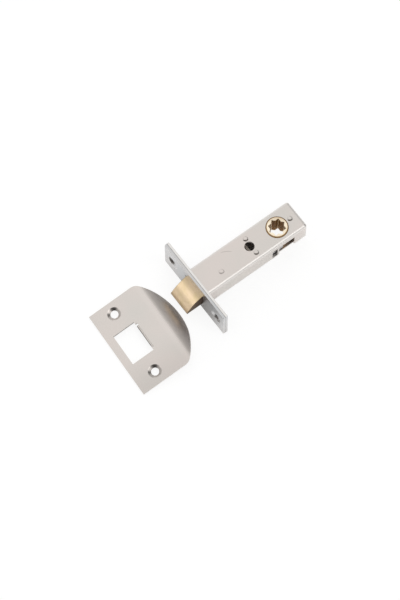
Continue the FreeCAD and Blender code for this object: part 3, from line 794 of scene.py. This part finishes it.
@dataclass(frozen=True)
class Brass:
    """Satin brass with tool lines, a slight tarnish and, on part of it, painted shade with some dark
    grease.
    """

    bright: Colour = (0.845, 0.66, 0.45, 1.0)
    tarnish: Colour = (0.60, 0.49, 0.22, 1.0)
    worn: Colour = (0.93, 0.78, 0.52, 1.0)
    grease_and_shade_colour: Colour = (0.15, 0.085, 0.028, 1.0)
    roughness: float = 0.30
    brushing: float = 0.1
    grain_depth: float = 0.01 * MM
    sheen: float = 0.12
    tool_lines: tuple = (900.0, 30.0, 900.0)
    line_detail: float = 3.0
    line_range: tuple = (0.5, 0.9)
    line_tint: float = 0.25
    line_rough: float = 0.12
    cloud_scale: float = 160.0
    cloud_detail: float = 3.0
    cloud_range: tuple = (0.42, 0.85)
    cloud_tint: float = 0.55
    grit_scale: float = 3800.0
    grit_detail: float = 2.0
    grit_height: float = 0.4
    grit_rough: float = 0.1
    polish_tint: float = 0.7
    polish_gloss: float = 0.08
    grease_and_shade: HubGreaseAndShade | BoltSideShade = BoltSideShade()
    grease_and_shade_rough: float = 0.25
    dulling: float = 0.9

    def material(self, name: str) -> bpy.types.Material:
        """Make the brass.

        Args:
            name: the material's name.

        Returns:
            The material.
        """
        paint = Paint(name)
        lines = paint.noise(paint.stretched(self.tool_lines), AS_STRETCHED, self.line_detail)
        clouds = paint.noise(paint.place(), self.cloud_scale, self.cloud_detail)
        grit = paint.noise(paint.place(), self.grit_scale, self.grit_detail)
        polish = paint.polish()
        mask = self.grease_and_shade.mask(paint)
        colour = paint.mix(clouds.step(*self.cloud_range) * self.cloud_tint, self.bright, self.tarnish)
        colour = paint.mix(lines.step(*self.line_range) * self.line_tint, colour, self.tarnish)
        colour = paint.mix(polish * self.polish_tint, colour, self.worn)
        # Painted shade, with some grease on the hub, mixed into the brass.
        colour = paint.mix(mask, colour, self.grease_and_shade_colour)
        rough = self.roughness + (lines - NOISE_MEAN) * self.line_rough
        rough = rough + (grit - NOISE_MEAN) * self.grit_rough - polish * self.polish_gloss
        rough = rough + mask * self.grease_and_shade_rough
        normal = paint.bump(lines + grit * self.grit_height, self.brushing, self.grain_depth)
        shine = {"Metallic": 1.0 - mask * self.dulling, "Specular_IOR_Level": self.sheen}
        return paint.finish(Base_Color=colour, Roughness=rough, Normal=normal, **shine)


@dataclass(frozen=True)
class WorkingSteel:
    """Plain zinc-plated or drawn steel of the pieces inside the case."""

    light: Colour = (0.56, 0.57, 0.58, 1.0)
    dark: Colour = (0.40, 0.41, 0.42, 1.0)
    worn: Colour = (0.72, 0.72, 0.71, 1.0)
    roughness: float = 0.36
    spangle: float = 420.0
    spangle_range: tuple = (0.1, 0.8)
    stain_scale: float = 300.0
    stain_detail: float = 4.0
    stain_rough: float = 0.22
    polish_tint: float = 0.6
    pitting: float = 0.1
    pit_depth: float = 0.01 * MM

    def material(self, name: str) -> bpy.types.Material:
        """Make the steel.

        Args:
            name: the material's name.

        Returns:
            The material.
        """
        paint = Paint(name)
        grid = {"Vector": paint.place(), "Scale": self.spangle}
        cells = paint.add("ShaderNodeTexVoronoi", {}, grid, "Distance")
        stains = paint.noise(paint.place(), self.stain_scale, self.stain_detail)
        colour = paint.mix(cells.step(*self.spangle_range), self.light, self.dark)
        colour = paint.mix(paint.polish() * self.polish_tint, colour, self.worn)
        rough = self.roughness + (stains - NOISE_MEAN) * self.stain_rough
        normal = paint.bump(stains, self.pitting, self.pit_depth)
        return paint.finish(Base_Color=colour, Roughness=rough, Normal=normal, Metallic=1.0)


@dataclass
class DressedNode:
    """A CAD node shown as a copy whose sheared or cast edges are broken and whose curves are smooth."""

    node: str
    body: str
    slot: str
    edge: float
    rivet_face: float | None = None
    edge_strips: int = 2
    head_rise: float = 0.15 * MM
    dome_edge: float = 0.42 * MM
    dome_strips: int = 5
    sinking: float = 0.6
    flat_angle: float = 0.4
    sharp_angle: float = 26.0
    smooth_angle: float = 38.0
    weld: float = 0.002 * MM

    def build(self) -> bpy.types.Object:
        """Make the copy with broken edges.

        Returns:
            The new piece, at the origin.
        """
        shape = bmesh.new()
        shape.from_mesh(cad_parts[self.node].data)
        bmesh.ops.remove_doubles(shape, verts=shape.verts, dist=self.weld)
        flat = math.radians(self.flat_angle)
        bmesh.ops.dissolve_limit(shape, angle_limit=flat, verts=shape.verts, edges=shape.edges)
        if self.rivet_face is not None:
            self.dome(shape)
        polished = shape.faces.layers.float.new(POLISH)
        broken = self.round(shape, self.corners(shape), self.edge, self.edge_strips)
        for face in broken:
            face[polished] = 1.0
        for face in shape.faces:
            face.smooth = True
        smooth = math.radians(self.smooth_angle)
        for edge in shape.edges:
            edge.smooth = not edge.is_manifold or edge.calc_face_angle() < smooth
        mesh = bpy.data.meshes.new(f"{self.node}_finished")
        shape.to_mesh(mesh)
        shape.free()
        piece = placed(f"{self.node}_finished", mesh)
        self.flatten(piece)
        return piece

    def corners(self, shape: bmesh.types.BMesh) -> list[bmesh.types.BMEdge]:
        """Return the edges where two faces meet at a sharp angle."""
        limit = math.radians(self.sharp_angle)
        return [edge for edge in shape.edges if edge.is_manifold and edge.calc_face_angle() > limit]

    @staticmethod
    def round(shape: bmesh.types.BMesh, edges: list, width: float, strips: int) -> list[bmesh.types.BMFace]:
        """Round edges off.

        Args:
            shape: the mesh that they belong to.
            edges: the edges to round.
            width: how far the rounding reaches from each edge.
            strips: how many strips make the round.

        Returns:
            The faces of the rounds.
        """
        circular = 0.5
        how = {"offset_type": "OFFSET", "profile": circular, "affect": "EDGES", "clamp_overlap": True}
        return bmesh.ops.bevel(shape, geom=edges, offset=width, segments=strips, **how)["faces"]

    def dome(self, shape: bmesh.types.BMesh) -> None:
        """Round the rivet heads, which stand on the wide faces, and press them lower.

        Args:
            shape: the mesh of the piece.
        """
        raised = self.rivet_face + self.head_rise
        sharp = self.corners(shape)
        tops = [edge for edge in sharp if min(abs(vertex.co.z) for vertex in edge.verts) > raised]
        self.round(shape, tops, self.dome_edge, self.dome_strips)
        for vertex in shape.verts:
            above = max(abs(vertex.co.z) - self.rivet_face, 0.0)
            vertex.co.z -= math.copysign(above * self.sinking, vertex.co.z)

    @staticmethod
    def flatten(piece: bpy.types.Object) -> None:
        """Keep large faces flat to the eye, with the shading turned only along their broken edges.

        Args:
            piece: the copy.
        """
        weigh = piece.modifiers.new("flat_faces", "WEIGHTED_NORMAL")
        weigh.keep_sharp = True
        settle(piece, weigh)

    def dress(self, piece: bpy.types.Object, material: bpy.types.Material) -> None:
        """Give the copy its finish and put it on its body.

        Args:
            piece: the copy.
            material: its finish.
        """
        piece.data.materials.clear()
        piece.data.materials.append(material)
        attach(piece, self.body)
        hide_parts(self.node)
        log.info("%s: %d faces", piece.name, len(piece.data.polygons))


@dataclass
class PressedSet:
    """A group of CAD nodes that share one finish."""

    nodes: tuple
    body: str
    slot: str
    edge: float
    rivet_face: float | None = None

    def dress(self, material: bpy.types.Material) -> None:
        """Build and dress every node of the group.

        Args:
            material: the finish that they share.
        """
        for node in self.nodes:
            copy = DressedNode(node, self.body, self.slot, self.edge, self.rivet_face)
            copy.dress(copy.build(), material)


@dataclass
class LatchCase:
    """The two forend layers, the folded case and its cover, and the spring abutment inside."""

    sheet_edge: float = 0.1 * MM
    plate_edge: float = 0.16 * MM
    forend_finish: SatinNickel = SatinNickel(
        warm=(0.60, 0.585, 0.58, 1.0),
        cool=(0.565, 0.575, 0.59, 1.0),
        marks_and_shade=(JointLine(), ScrewHoleShade()),
        edges=ShearedEdge(),
    )
    case_finish: SatinNickel = SatinNickel(marks_and_shade=(ScratchArc(), RivetShade()), edges=FoldHighlight())
    abutment_finish: WorkingSteel = WorkingSteel(
        light=(0.30, 0.27, 0.24, 1.0),
        dark=(0.20, 0.175, 0.15, 1.0),
    )

    def dress(self) -> None:
        """Plate the visible sheet and zinc the abutment."""
        plate = self.forend_finish.material("forend_nickel", Grain.ALONG_FOREND)
        PressedSet(("faceplate", "forend"), "case", "satin_nickel", self.plate_edge).dress(plate)
        sheet = self.case_finish.material("case_nickel", Grain.ALONG_CASE)
        folded = "case_channel", "case_cover"
        PressedSet(folded, "case", "satin_nickel", self.sheet_edge, WIDE_FACE).dress(sheet)
        zinc = self.abutment_finish.material("abutment_steel")
        PressedSet(("spring_abutment",), "case", "zinc_steel", self.sheet_edge).dress(zinc)


@dataclass
class StrikePlate:
    """The lipped strike plate that lies in front of the bolt, a little askew."""

    edge: float = 0.16 * MM
    finish: SatinNickel = SatinNickel(
        turn=2.6,
        roughness=0.25,
        brushing=0.008,
        streaks=0.25,
        cloud_scale=36.0,
        marks_and_shade=(TabShade(), SinkShade(), HoleWallShade(), StrikeEndShade()),
        scuff_and_shade=LipScuffAndShade(),
    )

    def dress(self) -> None:
        """Plate the strike, with its brushing along its length."""
        plate = self.finish.material("strike_nickel", Grain.ALONG_STRIKE)
        PressedSet(("strike_plate",), "case", "satin_nickel", self.edge).dress(plate)


@dataclass
class BoltTrain:
    """The brass bolt and the rod, pin and ring that travel with it."""

    bolt_edge: float = 0.15 * MM
    rod_edge: float = 0.12 * MM
    ring_edge: float = 0.08 * MM
    # The bolt's dark colour is the painted shade on its sides.
    bolt_finish: Brass = Brass(grease_and_shade_colour=(0.10, 0.062, 0.042, 1.0))
    rod_finish: WorkingSteel = WorkingSteel(spangle=260.0)
    ring_finish: WorkingSteel = WorkingSteel(light=(0.3, 0.3, 0.31, 1.0), dark=(0.2, 0.2, 0.21, 1.0))

    def dress(self) -> None:
        """Finish the bolt in brass and its rod in steel."""
        brass = self.bolt_finish.material("bolt_brass")
        PressedSet(("latch_bolt",), "bolt", "brass", self.bolt_edge).dress(brass)
        rod = self.rod_finish.material("rod_zinc")
        PressedSet(("bolt_shank", "shank_pin"), "bolt", "zinc_steel", self.rod_edge).dress(rod)
        ring = self.ring_finish.material("ring_steel")
        PressedSet(("shank_clip",), "bolt", "spring_steel", self.ring_edge).dress(ring)


@dataclass
class HubTrain:
    """The brass hub and the stirrup that its wings pull."""

    hub_edge: float = 0.1 * MM
    stirrup_edge: float = 0.1 * MM
    hub_finish: Brass = Brass(
        bright=(0.95, 0.85, 0.68, 1.0),
        tarnish=(0.76, 0.61, 0.40, 1.0),
        grease_and_shade_colour=(0.33, 0.172, 0.045, 1.0),
        roughness=0.24,
        tool_lines=(700.0, 700.0, 40.0),
        grease_and_shade=HubGreaseAndShade(),
        dulling=0.75,
    )
    stirrup_finish: WorkingSteel = WorkingSteel()

    def dress(self) -> None:
        """Finish the hub in brass, dark at its rim with grease and painted shade, and the stirrup in zinc
        plate.
        """
        brass = self.hub_finish.material("hub_brass")
        PressedSet(("hub",), "hub", "brass", self.hub_edge).dress(brass)
        zinc = self.stirrup_finish.material("stirrup_zinc")
        PressedSet(("retractor",), "retractor", "zinc_steel", self.stirrup_edge).dress(zinc)


class CoilTree(NodeBoard):
    """The Geometry Nodes tree that winds a compression spring with closed ends along X."""

    SIZES = ("Turns", "Radius", "Length", "Wire", "Start")
    FINISH = "Finish"
    POINTS_A_TURN = 40
    WIRE_SIDES = 14
    CLOSED_TURN = 1.0
    # The closed turns rise by one wire each, and half a wire lies beyond the centre line at either end.
    CLOSED_WIRES = 3.0

    def __init__(self, name: str) -> None:
        """Build the tree.

        Args:
            name: the tree's name.
        """
        super().__init__(bpy.data.node_groups.new(name, "GeometryNodeTree"))
        sockets = self.tree.interface
        sockets.new_socket("Geometry", in_out="INPUT", socket_type="NodeSocketGeometry")
        for size in self.SIZES:
            sockets.new_socket(size, in_out="INPUT", socket_type="NodeSocketFloat")
        sockets.new_socket(self.FINISH, in_out="INPUT", socket_type="NodeSocketMaterial")
        sockets.new_socket("Geometry", in_out="OUTPUT", socket_type="NodeSocketGeometry")
        self.wind()

    def given(self, name: str) -> Signal:
        """Return one of the tree's own inputs."""
        return self.add("NodeGroupInput", {}, {}, name)

    def ramp(self, value: Signal, start: Signal | float, end: Signal | float, rise: Signal) -> Signal:
        """Return a rise that goes from nothing at start to its full size at end."""
        limits = {"Value": value, "From Min": start, "From Max": end, "To Min": 0.0, "To Max": rise}
        return self.add("ShaderNodeMapRange", {"clamp": True}, limits)

    def wind(self) -> None:
        """Wind the wire: one closed turn at each end and an even pitch between them."""
        turns, radius, length, wire, start = (self.given(size) for size in self.SIZES)
        circle = {"Resolution": self.POINTS_A_TURN, "Rotations": turns, "Height": 0.0}
        circle.update({"Start Radius": radius, "End Radius": radius})
        flat = self.add("GeometryNodeCurveSpiral", {}, circle)
        turn = self.add("GeometryNodeSplineParameter", {}, {}, "Factor") * turns
        last = turns - self.CLOSED_TURN
        rise = self.ramp(turn, 0.0, self.CLOSED_TURN, wire)
        rise = rise + self.ramp(turn, self.CLOSED_TURN, last, length - wire * self.CLOSED_WIRES)
        rise = rise + self.ramp(turn, last, turns, wire)
        half_wire = wire * 0.5
        place = self.add("GeometryNodeInputPosition", {}, {})
        right, up = (self.add("ShaderNodeSeparateXYZ", {}, {0: place}, way) for way in ("X", "Y"))
        helix = {"X": rise + start + half_wire, "Y": right, "Z": up}
        point = self.add("ShaderNodeCombineXYZ", {}, helix)
        wound = self.add("GeometryNodeSetPosition", {}, {"Geometry": flat, "Position": point})
        rod = {"Resolution": self.WIRE_SIDES, "Radius": half_wire}
        section = self.add("GeometryNodeCurvePrimitiveCircle", {}, rod)
        pipe = {"Curve": wound, "Profile Curve": section, "Fill Caps": True}
        swept = self.add("GeometryNodeCurveToMesh", {}, pipe)
        smooth = self.add("GeometryNodeSetShadeSmooth", {}, {"Geometry": swept})
        real = self.add("GeometryNodeRealizeInstances", {}, {"Geometry": smooth})
        coated = {"Geometry": real, "Material": self.given(self.FINISH)}
        self.end("NodeGroupOutput", self.add("GeometryNodeSetMaterial", {}, coated))

    def make(self, name: str, values: dict) -> bpy.types.Object:
        """Wind one spring and turn it into a plain mesh.

        Args:
            name: the piece's name.
            values: a value for each of the tree's sizes, and the finish.

        Returns:
            The spring, at the origin.
        """
        spring = placed(name, bpy.data.meshes.new(f"{name}_seed"))
        coil = spring.modifiers.new("coil", "NODES")
        coil.node_group = self.tree
        for socket in self.tree.interface.items_tree:
            if socket.name in values:
                coil[socket.identifier] = values[socket.name]
        settle(spring, coil)
        return spring


@dataclass(frozen=True)
class Wind:
    """One spring: the CAD node it stands for, the joint that presses it and the sizes of its wire."""

    node: str
    joint: str
    stroke: float
    turns: float
    radius: float
    wire: float


@dataclass
class SpringPair:
    """The light bolt spring inside the heavier return spring, both pushing on the abutment."""

    abutment: float = -38.3 * MM
    play: float = 0.06 * MM
    springs: tuple = (
        Wind("bolt_spring", "bolt_slide", 10.5 * MM, 8.0, 2.8 * MM, 0.6 * MM),
        Wind("return_spring", "retractor_slide", 10.46 * MM, 4.9, 4.2 * MM, 1.2 * MM),
    )
    finish: WorkingSteel = WorkingSteel(
        light=(0.34, 0.34, 0.35, 1.0),
        dark=(0.22, 0.22, 0.23, 1.0),
        roughness=0.3,
    )

    def dress(self) -> None:
        """Wind both springs in place of the plain coils."""
        steel = self.finish.material("spring_wire")
        tree = CoilTree("compression_spring")
        for wind in self.springs:
            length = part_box(wind.node)[1].x - self.abutment
            values = {"Turns": wind.turns, "Radius": wind.radius, "Wire": wind.wire, CoilTree.FINISH: steel}
            values.update({"Length": length, "Start": self.abutment})
            spring = tree.make(f"{wind.node}_wound", values)
            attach(spring, "case")
            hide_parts(wind.node)
            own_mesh(spring)
            log.info("%s: %d faces", spring.name, len(spring.data.polygons))


def grey(level: float) -> Colour:
    """Return an even grey."""
    return (level, level, level, 1.0)


@dataclass(frozen=True)
class Lobe:
    """A patch of the room that is lighter or darker, given by the cosines of its edge and its core."""

    way: tuple
    edge: float
    core: float
    change: float


@dataclass(frozen=True)
class Softbox:
    """A square soft light that faces the latch: its place, its side in metres and its power in watts."""

    name: str
    place: tuple
    side: float
    watts: float

    def hang(self) -> None:
        """Hang the light in the scene."""
        light = bpy.data.lights.new(self.name, "AREA")
        light.size = self.side
        light.energy = self.watts
        lamp = placed(self.name, light)
        lamp.location = self.place
        lamp.rotation_euler = (-Vector(self.place)).to_track_quat("-Z", "Y").to_euler()


@dataclass
class Studio:
    """The pale floor, soft lights and the long lens that looks down on the latch."""

    floor_height: float = -12.53 * MM
    floor_size: float = 4.0
    floor_rough: float = 0.9
    gap: tuple = (6.0 * MM, 4.0 * MM, 0.0)
    gap_core: float = 9.0 * MM
    gap_edge: float = 22.0 * MM
    gap_shadow_glow: float = 0.22
    open_glow: float = 0.4
    seen_glow: float = 0.84
    gap_shadow_white: float = 0.5
    open_white: float = 0.86
    seen_white: float = 0.22
    room_tint: Colour = (1.0, 0.995, 0.985, 1.0)
    room_white: float = 0.60
    overhead: float = 0.15
    horizon: tuple = (-0.3, 0.5)
    darkest: float = 0.02
    lobes: tuple = (
        Lobe((0.62, -0.28, 0.73), 0.88, 0.99, -0.2),
        Lobe((0.57, 0.78, 0.25), 0.62, 0.9, -0.66),
        Lobe((-0.93, 0.36, 0.06), 0.80, 0.96, -0.55),
        Lobe((-0.2, -0.96, 0.2), 0.85, 0.97, 0.25),
        Lobe((-0.21, 0.90, 0.38), 0.76, 0.97, 0.28),
        Lobe((-0.66, 0.05, 0.75), 0.89, 0.98, -0.55),
    )
    softboxes: tuple = (
        Softbox("overhead_softbox", (-0.3, -0.4, 1.5), 1.8, 3.0),
        Softbox("left_softbox", (1.0, -0.35, 0.57), 0.45, 0.5),
        Softbox("right_softbox", (-0.27, 0.55, 1.14), 0.9, 1.9),
    )
    distance: float = 2.0
    far_clip: float = 20.0
    pixels_a_mm: float = 1.7288
    frame_height: float = 600.0
    sensor: float = 36.0
    to_camera: tuple = (0.2098, 0.2859, 0.9350)
    right: tuple = (-0.8023, 0.5970, -0.0025)
    up: tuple = (-0.5589, -0.7496, 0.3546)
    aim_right: float = 3.40 * MM
    aim_up: float = -6.07 * MM

    def floor(self) -> None:
        """Lay a plain white floor that glows evenly to the lens, with a painted shadow in the gap between
        the bolt and the strike that only the metal sees.
        """
        bpy.ops.mesh.primitive_plane_add(size=self.floor_size, location=(0.0, 0.0, self.floor_height))
        plane = bpy.context.object
        plane.name = "studio_floor"
        paint = Paint("floor_white")
        seen = paint.add("ShaderNodeLightPath", {}, {}, "Is Camera Ray")
        # A painted shadow: the floor's glow and colour are darker in the gap, seen only in reflections.
        open_floor = paint.from_axis(self.gap).step(self.gap_core, self.gap_edge)
        glow = paint.mix(open_floor, grey(self.gap_shadow_glow), grey(self.open_glow))
        glow = paint.mix(seen, glow, grey(self.seen_glow))
        white = paint.mix(open_floor, grey(self.gap_shadow_white), grey(self.open_white))
        white = paint.mix(seen, white, grey(self.seen_white))
        lit = {"Emission_Color": glow, "Emission_Strength": 1.0, "Specular_IOR_Level": 0.0}
        plane.data.materials.append(paint.finish(Base_Color=white, Roughness=self.floor_rough, **lit))

    def room(self) -> None:
        """Make the room: white overhead and greyer near the horizon, with lighter and darker patches."""
        world = bpy.data.worlds.new("studio_room")
        world.use_nodes = True
        bpy.context.scene.world = world
        board = NodeBoard(world.node_tree)
        way = board.add("ShaderNodeTexCoord", {}, {}, "Generated")
        height = board.vector("DOT_PRODUCT", way, ALONG_Z, "Value")
        white = height.step(*self.horizon) * self.overhead + self.room_white
        for lobe in self.lobes:
            toward = board.vector("DOT_PRODUCT", way, lobe.way, "Value")
            white = white + toward.step(lobe.edge, lobe.core) * lobe.change
        shown = {"Strength": white.at_least(self.darkest), "Color": self.room_tint}
        board.end("ShaderNodeOutputWorld", board.add("ShaderNodeBackground", {}, shown))

    def camera(self) -> None:
        """Point the lens as the photograph's was."""
        lens = bpy.data.cameras.new("studio_camera")
        lens.sensor_fit = "VERTICAL"
        lens.sensor_height = self.sensor
        lens.lens = self.sensor * self.distance * self.pixels_a_mm / (self.frame_height * MM)
        lens.clip_end = self.far_clip
        eye = placed("studio_camera", lens)
        right, up, back = Vector(self.right), Vector(self.up), Vector(self.to_camera)
        axes = Matrix((right, up, back)).transposed().to_4x4()
        aim = right * self.aim_right + up * self.aim_up
        eye.matrix_world = Matrix.Translation(aim + back * self.distance) @ axes
        bpy.context.scene.camera = eye

    def build(self) -> None:
        """Set the whole stage."""
        self.floor()
        self.room()
        for softbox in self.softboxes:
            softbox.hang()
        self.camera()
        bpy.context.scene.view_settings.view_transform = "Standard"


def main() -> None:
    """Dress every piece in order."""
    logging.basicConfig(level=logging.INFO, format="%(name)s: %(message)s")
    for assembly in LatchCase(), StrikePlate(), BoltTrain(), HubTrain(), SpringPair():
        log.info("dressing %s", type(assembly).__name__)
        assembly.dress()
    Studio().build()


if __name__ == "__main__":
    main()
